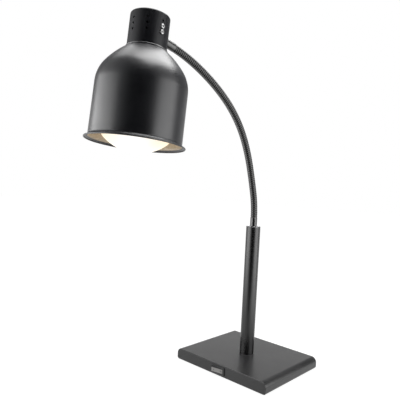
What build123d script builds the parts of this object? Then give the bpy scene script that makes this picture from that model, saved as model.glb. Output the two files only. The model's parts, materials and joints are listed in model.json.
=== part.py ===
from build123d import *
from math import cos, degrees, radians, sin, sqrt
import os

# Flexible food heat lamp: a weighted box base with a rocker switch, an upright tube, a gooseneck arm
# and a spun bell shade with a vented cup above it. Millimetres.
# Origin: on the table, under the middle of the base. +Z is up, X runs along the base's long side,
# and the arm reaches over the switch side, which is -Y.

# Base
base_length = 246.0
base_depth = 200.0
cover_height = 25.0
table_gap = 1.5  # table to the cover's lower edge
sheet = 1.5
end_bend_radius = 12.0
end_low_radius = 5.0  # the ends bend back under
end_lip = 7.0  # from the cover's end to the free edge of that bend
edge_break = 1.0
small_chamfer = 0.5  # on the bezel, tube and ferrules
plate_setback = 2.0  # bottom plate's lower face, above the cover's lower edge
plate_clearance = 0.3
ballast_thickness = 14.0
ballast_side_gap = 6.5  # to the cover's front and rear walls
ballast_end_gap = 6.5
cable_lane = 46.0  # free width between the two ballast blocks

# Screws and feet under the base
pillar_end_inset = 33.0  # from the cover's end
pillar_side_inset = 30.0
pillar_radius = 4.0
m4_radius = 1.95
screw_clearance = 0.3
pan_head_radius = 3.9
pan_head_height = 2.0
recess_width = 0.9
foot_end_inset = 18.0
foot_side_inset = 18.0
foot_radius = 9.0
foot_stem_radius = 2.5
foot_barb = 0.8
barb_height = 2.0
foot_chamfer = 0.8

# Rocker switch in the front wall
switch_height = 12.0  # centre above the cover's lower edge
bezel_length = 37.0
bezel_height = 17.0
bezel_thickness = 2.2
switch_body_length = 33.0
switch_body_height = 13.0
switch_body_depth = 20.0
switch_fit = 0.3
switch_wall = 0.8
rocker_length = 29.6
rocker_gap = 0.3
rocker_cavity_depth = 12.0
rocker_neutral_stand = 3.3  # middle of the rocker's face, in front of the base's front wall
rocker_tilt = 10.0  # degrees each way from the middle
rocker_pivot_depth = 2.0  # behind the front wall's face
rocker_pin_radius = 1.2
running_clearance = 0.05
blade_length = 8.0
blade_width = 4.8
blade_thickness = 0.8
blade_spacing = 16.0
bezel_corner = 1.2
rocker_skirt = 1.5  # from the pin's level forward to the rocker's ends
rocker_heel_length = 12.0
rocker_heel_depth = 3.5
rocker_round = 0.8

# Cord gland in the rear wall
gland_height = 11.2  # centre above the cover's lower edge
gland_thread_radius = 6.0
gland_bore_radius = 3.25
gland_flats = 15.5
gland_flange = 3.5
gland_cap_length = 10.0
gland_cap_radius = 7.7
gland_inner_length = 8.0
gland_locknut = 3.5
gland_locknut_flats = 14.6
gland_seal_length = 6.0
gland_cap_mouth = 1.2  # cap beyond the seal
gland_seal_wall = 2.2
gland_cap_round = 1.2

# Wiring inside the base
block_inset = 45.0  # from the rear to the terminal block's middle
block_length = 30.0
block_depth = 18.0
block_height = 13.0
way_spacing = 9.0
way_radius = 1.7
stud_x = -16.0
stud_inset = 22.0  # from the rear
stud_nut_flats = 7.0
stud_nut_height = 3.2
stud_height = 12.0
wire_radius = 1.05
wire_spacing = 2.5
wire_level = 6.0  # above the bottom plate
feed_side = 14.0  # the switch feed passes this far beside the post nut
lead_in_clamp = 5.0  # lead's length inside the terminal block
lead_run = 14.0  # straight out of the terminal block
blade_run = 12.0  # straight off the switch's blade
lead_bend = 12.0
nipple_turn = 10.0  # bend radius where the leads turn up into the post

# Post
post_radius = 16.0
post_wall = 1.5
post_height = 290.0
plug_length = 15.0
plug_clearance = 0.1
nipple_radius = 5.0
nipple_bore = 3.4
nipple_below = 8.5
washer_radius = 16.0
washer_thickness = 2.0
nut_flats = 14.0
nut_height = 4.5
thread_clearance = 0.1

# Gooseneck: eight sections of one coil-wound tube, each bent to its own arc
ferrule_radius = 7.8
lower_ferrule_height = 20.0
ferrule_grip = 12.0
ferrule_thread = 10.0
coil_radius = 7.0
coil_root_radius = 6.35
tail_radius = 6.9
coil_bore = 3.0
section_length = 56.0
section_turns = 13
section_bends = [15.4, 3.1, 9.0, 14.0, 12.6, 8.1, 6.9, 8.7]
root_half_width = 0.3
crest_start = 0.9
ball_radius = 6.0
socket_radius = 6.3
ball_turn = 37  # degrees, to keep the seams of ball, socket and tube apart
socket_turn = 23
section_end_gap = 1.0
rim_chamfer = 0.25
wire_ball_end = 5.2
wire_socket_start = 6.6

# Fitting between gooseneck and neck cup
upper_ferrule_length = 26.3
entry_drop = 30.4  # on the cup's wall, below its top
saddle_clearance = 0.05
arm_block_width = 20.0
arm_block_height = 16.0
arm_block_thickness = 6.5
ferrule_seat = 6.0  # extra length that the cup's wall cuts to a saddle
arm_nut_height = 4.0
arm_thread_end = 2.0  # thread beyond the nut

# Shade
shade_tilt = 5.7  # degrees, opening towards the front
shade_sheet = 1.2
rim_radius = 85.2
rim_roll = 1.1
flange_height = 7.0
wall_low_radius = 79.4
wall_high_radius = 78.8
shoulder_height = 89.2
shoulder_radius = 66.1
shoulder_angle = 41.3
crown_height = 161.4
land_hole_radius = 25.0

# Neck cup
neck_radius = 34.2
neck_sheet = 1.2
neck_height = 59.0  # the cup's top above the shade's crown
neck_top_round = 3.2
neck_lip = 0.8
neck_lip_height = 1.6
neck_lip_chamfer = 0.6
vent_radius = 2.0
vent_pitch = 9.6
vent_drop = 15.0  # top row below the cup's top
vent_rows = 3
vent_columns = 8
slot_inner = 8.0
slot_outer = 22.0
slot_radius = 2.0
ring_inner_radius = 26.0
ring_height = 4.0
shade_screw_circle = 28.2
shade_screw_radius = 1.45
shade_screw_head = 2.6
shade_screw_turns = (30, 150, 270)
small_head_height = 1.8

# Lamp holder and its bracket
bracket_sheet = 1.5
bracket_width = 16.0
bracket_below = 8.2  # shelf below the last row of vents
bracket_drop = 19.4  # leg's end below the cup's top
bracket_reach = 16.0
bracket_play = 0.6  # between its leg and the cup's wall
holder_screw_x = 10.0
holder_screw_radius = 1.7
holder_screw_head = 3.0
holder_screw_tip = 1.5  # roof left below the screw
terminal_radius = 1.6
holder_round = 1.5
head_screw_radius = 4.0
head_screw_head = 2.6
head_screw_length = 8.0
head_screw_turns = (65, 105)  # of the cross recesses
holder_radius = 21.0
holder_height = 42.0
holder_mouth_inset = 2.0  # the screw shell starts this far in
holder_roof = 6.0
holder_cavity_radius = 14.7
shell_radius = 14.3
shell_wall = 0.6
shell_roof_gap = 6.0
terminal_x = 5.0
terminal_y = 13.0

# Reflector bulb with an E27 cap
bulb_sphere_radius = 78.0
bulb_length = 180.0
bulb_radius = 62.5
bulb_face_radius = 53.0
bulb_widest_height = 35.0  # this height and the next ones are above the bulb's front
bulb_shoulder_height = 59.0
bulb_shoulder_radius = 55.5
bulb_cone_height = 126.0
bulb_cone_radius = 24.0
bulb_neck_height = 144.0
bulb_neck_radius = 18.5
bulb_glass = 1.2
bulb_cap_radius = 13.2
bulb_cap_sheet = 0.7
insulator_share = 0.72  # of the cap's inside
bulb_cap_length = 21.0
bulb_tip_length = 4.0  # insulator and contact above the cap
bulb_insulator_height = 3.0
bulb_tip_radius = 4.5
bulb_waist_gap = 3.0
bulb_glass_in_cap = 5.0
contact_space = 10.0  # holder's roof to the bulb's tip
tongue_gap = 0.3
tongue_sheet = 0.8
tongue_width = 6.0
tongue_back = 4.0  # from the axis to its free end
tongue_reach = 9.0  # from the axis to its upright
stem_length = 72.0  # glass stem inside the bulb
stem_tip_radius = 2.2
stem_fit = 0.1
support_length = 24.0
support_radius = 0.5
support_spacing = 5.6
filament_length = 24.0
filament_radius = 0.8

# Worked out from the above
pillar_x = base_length / 2 - pillar_end_inset
pillar_y = base_depth / 2 - pillar_side_inset
foot_x = base_length / 2 - foot_end_inset
foot_y = base_depth / 2 - foot_side_inset
ballast_depth = base_depth - 2 * (sheet + ballast_side_gap)
cover_low = table_gap
cover_top = table_gap + cover_height
cover_under = cover_top - sheet
lip_x = base_length / 2 - end_lip
plate_low = cover_low + plate_setback
plate_top = plate_low + sheet
ballast_top = plate_top + ballast_thickness
front = -base_depth / 2
rear = base_depth / 2
post_top = cover_top + post_height
gooseneck_start = post_top + lower_ferrule_height
switch_z = cover_low + switch_height
gland_z = cover_low + gland_height
wire_z = plate_top + wire_level
post_bore = post_radius - post_wall
neck_inner = neck_radius - neck_sheet
turn_pitch = section_length / section_turns
block_y = rear - block_inset
stud_y = rear - stud_inset
neck_top_height = crown_height + neck_height
entry_height = neck_top_height - entry_drop
vent_heights = [neck_top_height - vent_drop - row * vent_pitch for row in range(vent_rows)]
bracket_level = vent_heights[-1] - bracket_below
bracket_top = neck_top_height - bracket_drop
holder_mouth = bracket_level - holder_height
cavity_top = bracket_level - holder_roof
shell_top = cavity_top - shell_roof_gap
bulb_tip = cavity_top - contact_space
bulb_front = bulb_tip - bulb_length
bulb_cap_high = bulb_tip - bulb_tip_length
bulb_cap_low = bulb_cap_high - bulb_cap_length
glass_end = bulb_cap_low + bulb_glass_in_cap

parts = {}


def cylinder(radius, start, end, axis=Axis.Z):
    """Solid cylinder along a world axis between two coordinates on it."""
    along = Plane(origin=axis.direction * start, z_dir=axis.direction)
    return along * Cylinder(radius, end - start, align=(Align.CENTER, Align.CENTER, Align.MIN))


def block(low, high):
    """Box between two opposite corners."""
    size = [b - a for a, b in zip(low, high)]
    return Pos(*low) * Box(*size, align=(Align.MIN, Align.MIN, Align.MIN))


def hexagon(flats, height):
    """Hexagonal prism from z = 0 up, with its flats facing +Y and -Y."""
    return extrude(RegularPolygon(flats / 2, 6, major_radius=False), height)


def nut(flats, height, hole):
    return hexagon(flats, height) - cylinder(hole, -1, height + 1)


def cross_recess(radius, depth):
    """Cross-shaped driver recess, cut down from z = 0."""
    arm = block((-radius, -recess_width / 2, -depth), (radius, recess_width / 2, 1))
    return arm + Rot(0, 0, 90) * arm


def pan_screw(shank_radius, length, head_radius, head_height):
    """Screw with its head above z = 0 and its shank below."""
    head = cylinder(head_radius, 0, head_height)
    head = fillet(head.edges().sort_by(Axis.Z)[-1], head_height * 0.6)
    recess = Pos(0, 0, head_height) * cross_recess(head_radius * 0.55, head_height * 0.5)
    return head - recess + cylinder(shank_radius, -length, 0.01)


def revolved(points):
    """Ring or disc turned about Z from (radius, height) points."""
    outline = Polyline(*[(r, 0, z) for r, z in points], close=True)
    return revolve(make_face(outline), Axis.Z)


def wire(points, radii):
    """Round insulated lead along straight runs joined by arcs."""
    path = FilletPolyline(*points, radius=radii) if radii else Line(*points)
    section = Plane(origin=path @ 0, z_dir=path % 0) * Circle(wire_radius)
    return sweep(section, path)


# Base: folded cover, bottom plate, ballast, screws and feet

def channel(length, depth, top, low, bend, low_bend):
    """Block with its ends rounded above and below, as the folded cover is."""
    height = top - low
    face = Rectangle(length, height)
    face = fillet(face.vertices().sort_by(Axis.Y)[-2:], bend)
    face = fillet(face.vertices().sort_by(Axis.Y)[:2], low_bend)
    standing = Plane(origin=(0, 0, low + height / 2), x_dir=(1, 0, 0), z_dir=(0, -1, 0)) * face
    return extrude(standing, depth / 2, both=True)


def make_cover():
    outer = channel(base_length, base_depth, cover_top, cover_low, end_bend_radius, end_low_radius)
    front_and_rear = [e for e in outer.edges() if abs(abs(e.center().Y) - base_depth / 2) < 0.01]
    outer = fillet(front_and_rear, edge_break)
    inner = channel(base_length - 2 * sheet, base_depth - 2 * sheet, cover_under, cover_low + sheet,
                    end_bend_radius - sheet, end_low_radius - sheet)
    inner = inner + block((-lip_x, front + sheet, cover_low - 1),
                          (lip_x, rear - sheet, cover_low + sheet + 1))
    switch_hole = block(
        (-switch_body_length / 2 - switch_fit, front - 1, switch_z - switch_body_height / 2 - switch_fit),
        (switch_body_length / 2 + switch_fit, front + sheet + 1,
         switch_z + switch_body_height / 2 + switch_fit))
    gland_hole = Pos(0, 0, gland_z) * cylinder(gland_thread_radius + thread_clearance,
                                               rear - sheet - 1, rear + 1, Axis.Y)
    post_hole = cylinder(nipple_radius + thread_clearance, cover_under - 1, cover_top + 1)
    return outer - inner - switch_hole - gland_hole - post_hole


def at_corners(x, y, shape):
    return [Pos(sx * x, sy * y, 0) * shape for sx in (-1, 1) for sy in (-1, 1)]


def cut_all(shape, tools):
    for tool in tools:
        shape = shape - tool
    return shape


parts["base_cover"] = make_cover()

pillar = cylinder(pillar_radius, ballast_top, cover_under) - cylinder(m4_radius + thread_clearance,
                                                                      ballast_top - 1, cover_under - 1)
parts["base_pillars"] = Compound(children=at_corners(pillar_x, pillar_y, pillar))

plate_half_x = lip_x - plate_clearance
plate_half_y = base_depth / 2 - sheet - plate_clearance
bottom_plate = block((-plate_half_x, -plate_half_y, plate_low), (plate_half_x, plate_half_y, plate_top))
screw_hole = cylinder(m4_radius + screw_clearance, plate_low - 1, ballast_top + 1)
foot_hole = cylinder(foot_stem_radius + thread_clearance, plate_low - 1, plate_top + 1)
bottom_plate = cut_all(bottom_plate, at_corners(pillar_x, pillar_y, screw_hole)
                       + at_corners(foot_x, foot_y, foot_hole))
parts["bottom_plate"] = bottom_plate

ballast_end = base_length / 2 - sheet - ballast_end_gap
ballast = block((cable_lane / 2, -ballast_depth / 2, plate_top),
                (ballast_end, ballast_depth / 2, ballast_top))
foot_pocket = cylinder(foot_stem_radius + foot_barb + 1, plate_top - 1, plate_top + barb_height + 1)
ballast = cut_all(ballast, at_corners(pillar_x, pillar_y, screw_hole)
                  + at_corners(foot_x, foot_y, foot_pocket))
parts["ballast_blocks"] = Compound(children=[ballast, Rot(0, 0, 180) * ballast])

base_screw = Pos(0, 0, plate_low) * Rot(180, 0, 0) * pan_screw(
    m4_radius, cover_under - 2 - plate_low, pan_head_radius, pan_head_height)
parts["base_screws"] = Compound(children=at_corners(pillar_x, pillar_y, base_screw))

foot = cylinder(foot_radius, 0, plate_low)
foot = chamfer(foot.edges().sort_by(Axis.Z)[0], foot_chamfer)
foot = foot + cylinder(foot_stem_radius, plate_low, plate_top + barb_height)
foot = foot + Pos(0, 0, plate_top) * Cone(foot_stem_radius + foot_barb, foot_stem_radius, barb_height,
                                          align=(Align.CENTER, Align.CENTER, Align.MIN))
parts["rubber_feet"] = Compound(children=at_corners(foot_x, foot_y, foot))


# Rocker switch

switch_back = front + switch_body_depth
cavity_length = switch_body_length - 2 * switch_wall + 0.4
cavity_height = switch_body_height - 2 * switch_wall
rocker_height = cavity_height - 2 * rocker_gap
rocker_pivot_y = front + rocker_pivot_depth


def make_switch_housing():
    bezel = block((-bezel_length / 2, front - bezel_thickness, switch_z - bezel_height / 2),
                  (bezel_length / 2, front, switch_z + bezel_height / 2))
    bezel = fillet(bezel.edges().filter_by(Axis.Y), bezel_corner)
    bezel = chamfer(bezel.faces().sort_by(Axis.Y)[0].edges(), small_chamfer)
    body = block((-switch_body_length / 2, front - 0.5, switch_z - switch_body_height / 2),
                 (switch_body_length / 2, switch_back, switch_z + switch_body_height / 2))
    cavity = block(
        (-cavity_length / 2, front - bezel_thickness - 1, switch_z - cavity_height / 2),
        (cavity_length / 2, front + rocker_cavity_depth, switch_z + cavity_height / 2))
    pins = Pos(0, rocker_pivot_y, switch_z) * cylinder(
        rocker_pin_radius + running_clearance, -switch_body_height / 2 - 0.2, switch_body_height / 2 + 0.2)
    return bezel + body - cavity - pins


def make_rocker():
    """Rocker in plan, turned about its pin until its left end stands proud."""
    face = -(rocker_neutral_stand + rocker_pivot_depth)
    half = rocker_length / 2
    heel = rocker_heel_length / 2
    plan = Polyline((-half, face), (half, face), (half, -rocker_skirt), (heel, rocker_heel_depth),
                    (-heel, rocker_heel_depth), (-half, -rocker_skirt), close=True)
    body = Pos(0, 0, -rocker_height / 2) * extrude(make_face(plan), rocker_height)
    body = fillet(body.edges().filter_by(Axis.Z).sort_by(Axis.Y)[:2], rocker_round)
    pin = cylinder(rocker_pin_radius, -switch_body_height / 2, switch_body_height / 2)
    return Pos(0, rocker_pivot_y, switch_z) * Rot(0, 0, rocker_tilt) * (body + pin)


parts["switch_housing"] = make_switch_housing()
parts["switch_rocker"] = make_rocker()

blades = [block((x - blade_width / 2, switch_back, switch_z - blade_thickness / 2),
                (x + blade_width / 2, switch_back + blade_length, switch_z + blade_thickness / 2))
          for x in (-blade_spacing / 2, blade_spacing / 2)]
parts["switch_terminals"] = Compound(children=blades)


# Cord gland: body through the wall, locknut inside, seal and cap outside

def along_rear(shape):
    """Stand a shape that was built up Z on the rear wall, pointing out of it."""
    return Plane(origin=(0, rear, gland_z), x_dir=(1, 0, 0), z_dir=(0, 1, 0)) * shape


cap_end = gland_flange + gland_cap_length
seal_start = cap_end - gland_cap_mouth - gland_seal_length
seal_radius = gland_bore_radius + gland_seal_wall
gland_body = hexagon(gland_flats, gland_flange) + cylinder(gland_thread_radius, -gland_inner_length, 0.5)
gland_body = gland_body + cylinder(gland_thread_radius, 0.5, seal_start)
gland_body = gland_body - cylinder(gland_bore_radius, -gland_inner_length - 1, seal_start + 1)
parts["gland_body"] = along_rear(gland_body)

gland_seal = cylinder(seal_radius, seal_start, seal_start + gland_seal_length)
parts["gland_seal"] = along_rear(gland_seal - cylinder(gland_bore_radius, seal_start - 1, cap_end))

gland_cap = hexagon(gland_flats - 1, cap_end) & cylinder(gland_cap_radius, gland_flange, cap_end)
gland_cap = fillet(gland_cap.faces().sort_by(Axis.Z)[-1].edges(), gland_cap_round)
gland_cap = gland_cap - cylinder(gland_thread_radius + thread_clearance, 0, seal_start + thread_clearance)
gland_cap = gland_cap - cylinder(seal_radius + thread_clearance, 0, seal_start + gland_seal_length)
gland_cap = gland_cap - cylinder(gland_bore_radius, 0, cap_end + 1)
parts["gland_cap"] = along_rear(gland_cap)

parts["gland_locknut"] = along_rear(Pos(0, 0, -sheet - gland_locknut) * nut(
    gland_locknut_flats, gland_locknut, gland_thread_radius + thread_clearance))


# Terminal block, earth stud and leads in the base

def make_terminal_block():
    body = block((-block_length / 2, block_y - block_depth / 2, plate_top),
                 (block_length / 2, block_y + block_depth / 2, plate_top + block_height))
    for way in (-way_spacing, 0, way_spacing):
        tunnel = Pos(way, 0, wire_z) * cylinder(way_radius, block_y - block_depth / 2 - 1,
                                                block_y + block_depth / 2 + 1, Axis.Y)
        shaft = Pos(way, block_y, 0) * cylinder(way_radius + thread_clearance, wire_z,
                                                plate_top + block_height + 1)
        body = body - tunnel - shaft
    return body


parts["terminal_block"] = make_terminal_block()
clamp_screw = Pos(0, block_y, wire_z + wire_radius + 0.2) * (
    cylinder(way_radius, 0, block_height - wire_level - 2.5)
    - Pos(0, 0, block_height - wire_level - 2.5) * cross_recess(way_radius, 0.8))
parts["terminal_screws"] = Compound(children=[Pos(way, 0, 0) * clamp_screw
                                              for way in (-way_spacing, 0, way_spacing)])

stud_nut = nut(stud_nut_flats, stud_nut_height, m4_radius + thread_clearance)
earth_stud = [Pos(stud_x, stud_y, 0) * cylinder(m4_radius, plate_top, plate_top + stud_height),
              Pos(stud_x, stud_y, plate_top) * stud_nut,
              Pos(stud_x, stud_y, plate_top + stud_height - stud_nut_height - 0.8) * stud_nut]
parts["earth_stud"] = Compound(children=earth_stud)

block_front = block_y - block_depth / 2
block_back = block_y + block_depth / 2
blade_end = switch_back + blade_length
switch_feed = wire([(-way_spacing, block_front + lead_in_clamp, wire_z),
                    (-way_spacing, block_front - lead_run, wire_z),
                    (-feed_side, 0, wire_z - 1), (-feed_side, blade_end + 2.5 * blade_run, wire_z),
                    (-blade_spacing / 2, blade_end + blade_run, switch_z),
                    (-blade_spacing / 2, blade_end + thread_clearance, switch_z)],
                   [lead_bend, lead_bend, lead_bend, nipple_turn])
earth_lead = wire([(0, block_back - lead_in_clamp, wire_z), (0, block_back + lead_run, wire_z),
                   (stud_x + m4_radius + 2.6, stud_y, wire_z)], [lead_bend / 2])
parts["base_leads"] = Compound(children=[switch_feed, earth_lead])

lead_top = gooseneck_start - ferrule_grip
turn_level = wire_z - 3
switch_lead = wire([(blade_spacing / 2, blade_end + thread_clearance, switch_z),
                    (blade_spacing / 2, blade_end + 2 * blade_run, wire_z),
                    (wire_spacing / 2, 0, turn_level), (wire_spacing / 2, 0, lead_top)], [20, nipple_turn])
neutral_lead = wire([(way_spacing, block_front + lead_in_clamp, wire_z),
                     (way_spacing, block_front - lead_run, wire_z),
                     (-wire_spacing / 2, 0, turn_level), (-wire_spacing / 2, 0, lead_top)],
                    [lead_bend, nipple_turn])
parts["supply_leads"] = Compound(children=[switch_lead, neutral_lead])


# Post: tube, threaded plugs in both ends, hollow nipple with washer and nut under the cover

parts["post_tube"] = chamfer(
    (cylinder(post_radius, cover_top, post_top) - cylinder(post_bore, cover_top - 1, post_top + 1))
    .edges().filter_by(GeomType.CIRCLE).sort_by(Axis.Z)[-2:].sort_by(SortBy.RADIUS)[-1], small_chamfer)

plug_hole = cylinder(nipple_radius + thread_clearance, cover_top - 1, post_top + 1)
plug_radius = post_bore - plug_clearance
parts["post_foot_plug"] = cylinder(plug_radius, cover_top, cover_top + plug_length) - plug_hole
parts["post_top_plug"] = cylinder(plug_radius, post_top - plug_length, post_top) - plug_hole
parts["post_nipple"] = (cylinder(nipple_radius, cover_under - nipple_below, cover_top + plug_length - 2)
                        - cylinder(nipple_bore, cover_under - nipple_below - 1, cover_top + plug_length))
parts["post_washer"] = (cylinder(washer_radius, cover_under - washer_thickness, cover_under)
                        - cylinder(nipple_radius + screw_clearance, 0, cover_top))
parts["post_nut"] = Pos(0, 0, cover_under - washer_thickness - nut_height) * nut(
    nut_flats, nut_height, nipple_radius + thread_clearance)

lower_ferrule = cylinder(ferrule_radius, post_top, gooseneck_start)
lower_ferrule = chamfer(lower_ferrule.edges().filter_by(GeomType.CIRCLE), small_chamfer)
lower_ferrule = lower_ferrule + cylinder(nipple_radius, post_top - ferrule_thread, post_top + 1)
lower_ferrule = lower_ferrule - cylinder(coil_bore, post_top - ferrule_thread - 1, gooseneck_start)
lower_ferrule = lower_ferrule - cylinder(tail_radius + thread_clearance, gooseneck_start - ferrule_grip,
                                         gooseneck_start + 1)
parts["lower_ferrule"] = lower_ferrule


# Gooseneck. A place on it is (y, z, heading), the heading in degrees from straight up towards -Y.

def along_arc(place, bend, distance):
    """Place reached along a section of the given bend."""
    y, z, heading = place
    radius = section_length / radians(bend)
    start = radians(heading)
    turned = start + distance / radius
    return y + radius * (cos(turned) - cos(start)), z + radius * (sin(turned) - sin(start)), degrees(turned)


def straight_on(place, distance):
    """Place reached by going straight on along the heading."""
    y, z, heading = place
    return y - distance * sin(radians(heading)), z + distance * cos(radians(heading)), heading


def plane_at(place):
    y, z, heading = place
    return Plane(origin=(0, y, z), x_dir=(1, 0, 0),
                 z_dir=(0, -sin(radians(heading)), cos(radians(heading))))


def ruled_tube(circles):
    """Ruled tube through circles, given as (place, radius)."""
    return loft([plane_at(place) * Circle(radius) for place, radius in circles], ruled=True)


def coil_stations(first, last):
    """Roots and crests of the coil as (distance, radius); a jointed end starts on a crest."""
    stations = []
    for turn in range(section_turns):
        start = turn * turn_pitch
        stations += [(start + root_half_width, coil_root_radius), (start + crest_start, coil_radius),
                     (start + turn_pitch - crest_start, coil_radius),
                     (start + turn_pitch - root_half_width, coil_root_radius)]
    if not first:
        stations[:2] = [(section_end_gap, coil_radius - rim_chamfer),
                        (section_end_gap + rim_chamfer, coil_radius)]
    if not last:
        stations[-2:] = [(section_length - section_end_gap - rim_chamfer, coil_radius),
                         (section_length - section_end_gap, coil_radius - rim_chamfer)]
    return stations


def make_section(place, bend, first, last):
    """One bent section: a socket at its lower end and a ball at its upper end, or a tail in a ferrule."""
    end = along_arc(place, bend, section_length)
    outline = [(along_arc(place, bend, distance), radius) for distance, radius in coil_stations(first, last)]
    if first:
        outline = [(straight_on(place, -ferrule_grip), tail_radius), (place, tail_radius)] + outline
    if last:
        outline = outline + [(end, tail_radius), (straight_on(end, ferrule_grip), tail_radius)]
    section = ruled_tube(outline)
    if not last:
        ball = Sphere(ball_radius) & cylinder(ball_radius + 1, -section_end_gap - 0.6, ball_radius + 1)
        section = section + plane_at(end) * Rot(0, 0, ball_turn) * ball
    if not first:
        section = section - plane_at(place) * Rot(0, 0, socket_turn) * Sphere(socket_radius)
    bore = [(straight_on(place, -ferrule_grip - 2), coil_bore)]
    bore += [(along_arc(place, bend, section_length * step / 6), coil_bore) for step in range(7)]
    bore += [(straight_on(end, ferrule_grip + 2), coil_bore)]
    return section - ruled_tube(bore)


def make_section_leads(place, bend, first, last):
    """Two leads: an arc along the section, then straight on through its ball or tail."""
    begin = 0 if first else wire_socket_start
    end = along_arc(place, bend, section_length)
    reach = ferrule_grip - 0.2 if last else wire_ball_end
    leads = []
    for side in (-wire_spacing / 2, wire_spacing / 2):
        spots = [along_arc(place, bend, distance)
                 for distance in (begin, (begin + section_length) / 2, section_length)]
        curve = ThreePointArc(*[(side, y, z) for y, z, heading in spots])
        lead = sweep(Plane(origin=curve @ 0, z_dir=curve % 0) * Circle(wire_radius), curve)
        lead = lead + plane_at(end) * Pos(side, 0, 0) * cylinder(wire_radius, -0.05, reach)
        if first:
            lead = lead + plane_at(place) * Pos(side, 0, 0) * cylinder(wire_radius, 0.1 - ferrule_grip, 0.05)
        leads.append(lead)
    return Compound(children=leads)


places = [(0.0, gooseneck_start, 0.0)]
for section_bend in section_bends:
    places.append(along_arc(places[-1], section_bend, section_length))
for index, section_bend in enumerate(section_bends):
    lowest = index == 0
    highest = index == len(section_bends) - 1
    parts[f"gooseneck_section_{index + 1}"] = make_section(places[index], section_bend, lowest, highest)
    parts[f"section_leads_{index + 1}"] = make_section_leads(places[index], section_bend, lowest, highest)
pivots = places[1:-1]
arm_end = places[-1]


# Head frame: origin at the middle of the rim, Z up the shade's axis

tilt = radians(shade_tilt)
entry_y = arm_end[0] - upper_ferrule_length * sin(radians(arm_end[2]))
entry_z = arm_end[1] + upper_ferrule_length * cos(radians(arm_end[2]))
rim_y = entry_y - entry_height * sin(tilt) - neck_radius * cos(tilt)
rim_z = entry_z - entry_height * cos(tilt) + neck_radius * sin(tilt)
head = Location((0, rim_y, rim_z), (-shade_tilt, 0, 0))


def in_head(shape):
    return head * shape


# Upper ferrule: grips the gooseneck, seats on the cup's wall and screws into the block inside it

arm_plane = plane_at(arm_end)
nut_start = upper_ferrule_length + arm_block_thickness
stub_end = nut_start + arm_nut_height + arm_thread_end
neck_outside = in_head(cylinder(neck_radius + saddle_clearance, crown_height, neck_top_height))
neck_inside = in_head(cylinder(neck_inner - saddle_clearance, crown_height, neck_top_height))

upper_ferrule = cylinder(ferrule_radius, 0, upper_ferrule_length + ferrule_seat)
upper_ferrule = chamfer(upper_ferrule.edges().filter_by(GeomType.CIRCLE).sort_by(Axis.Z)[0], small_chamfer)
upper_ferrule = arm_plane * upper_ferrule - neck_outside
upper_ferrule = upper_ferrule + arm_plane * cylinder(nipple_radius, upper_ferrule_length - ferrule_seat,
                                                     stub_end)
upper_ferrule = upper_ferrule - arm_plane * cylinder(coil_bore, -1, stub_end + 1)
upper_ferrule = upper_ferrule - arm_plane * cylinder(tail_radius + thread_clearance, -1, ferrule_grip)
parts["upper_ferrule"] = upper_ferrule

arm_block = Pos(0, 0, upper_ferrule_length - 4) * Box(
    arm_block_width, arm_block_height, arm_block_thickness + 4,
    align=(Align.CENTER, Align.CENTER, Align.MIN))
arm_block = arm_block - cylinder(nipple_radius + thread_clearance, 0, nut_start + 1)
arm_block = (arm_plane * arm_block) & neck_inside
parts["arm_block"] = arm_block
parts["arm_locknut"] = arm_plane * Pos(0, 0, nut_start) * nut(
    nut_flats, arm_nut_height, nipple_radius + thread_clearance)


# Shade: flared rim with a rolled edge, straight wall, domed shoulder, flat land inside the cup

def shade_profile(inset):
    """Points and curves of the shade's outside, or of its inside when inset by the sheet."""
    shoulder_centre = wall_high_radius - shoulder_radius
    bend_end = radians(shoulder_angle)
    bend_half = bend_end / 2
    bent_radius = shoulder_radius - inset
    bent = [(shoulder_centre + bent_radius * cos(a), shoulder_height + bent_radius * sin(a))
            for a in (0, bend_half, bend_end)]
    crown = (neck_radius, crown_height - inset)
    rim = Line((rim_radius - inset * 0.7, 0, 0), (wall_low_radius + 1 - inset, 0, flange_height - 1.2))
    fold = Line(rim @ 1, (wall_low_radius - inset, 0, flange_height + 1.2))
    wall = Line(fold @ 1, (bent[0][0], 0, bent[0][1]))
    shoulder = ThreePointArc(*[(r, 0, z) for r, z in bent])
    dome = TangentArc(shoulder @ 1, (crown[0], 0, crown[1]), tangent=shoulder % 1)
    land = Line(dome @ 1, (land_hole_radius, 0, crown[1]))
    return [rim, fold, wall, shoulder, dome, land]


def make_shade():
    outside = shade_profile(0)
    inside = shade_profile(shade_sheet)
    closing = [Line(outside[0] @ 0, inside[0] @ 0), Line(outside[-1] @ 1, inside[-1] @ 1)]
    shell = revolve(make_face(Wire(outside + inside + closing)), Axis.Z)
    roll = Pos(0, 0, rim_roll) * Torus(rim_radius - rim_roll * 0.3, rim_roll)
    shell = shell + roll
    screw_hole = Pos(shade_screw_circle, 0, crown_height) * cylinder(
        shade_screw_radius + 2 * thread_clearance, -shade_sheet - 1, 1)
    return shell - [Rot(0, 0, turn) * screw_hole for turn in shade_screw_turns]


parts["shade"] = in_head(make_shade())

neck_ring = cylinder(neck_inner - saddle_clearance, crown_height, crown_height + ring_height)
neck_ring = neck_ring - cylinder(ring_inner_radius, crown_height - 1, crown_height + ring_height + 1)
ring_hole = Pos(shade_screw_circle, 0, crown_height) * cylinder(
    shade_screw_radius + thread_clearance, -1, ring_height + 1)
neck_ring = neck_ring - [Rot(0, 0, turn) * ring_hole for turn in shade_screw_turns]
parts["neck_ring"] = in_head(neck_ring)

shade_screw = Pos(shade_screw_circle, 0, crown_height - shade_sheet) * Rot(180, 0, 0) * pan_screw(
    shade_screw_radius, shade_sheet + ring_height, shade_screw_head, small_head_height)
parts["shade_screws"] = in_head(Compound(children=[Rot(0, 0, turn) * shade_screw
                                                   for turn in shade_screw_turns]))


# Neck cup: drawn cup with rows of vent holes and slots in its top

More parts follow.
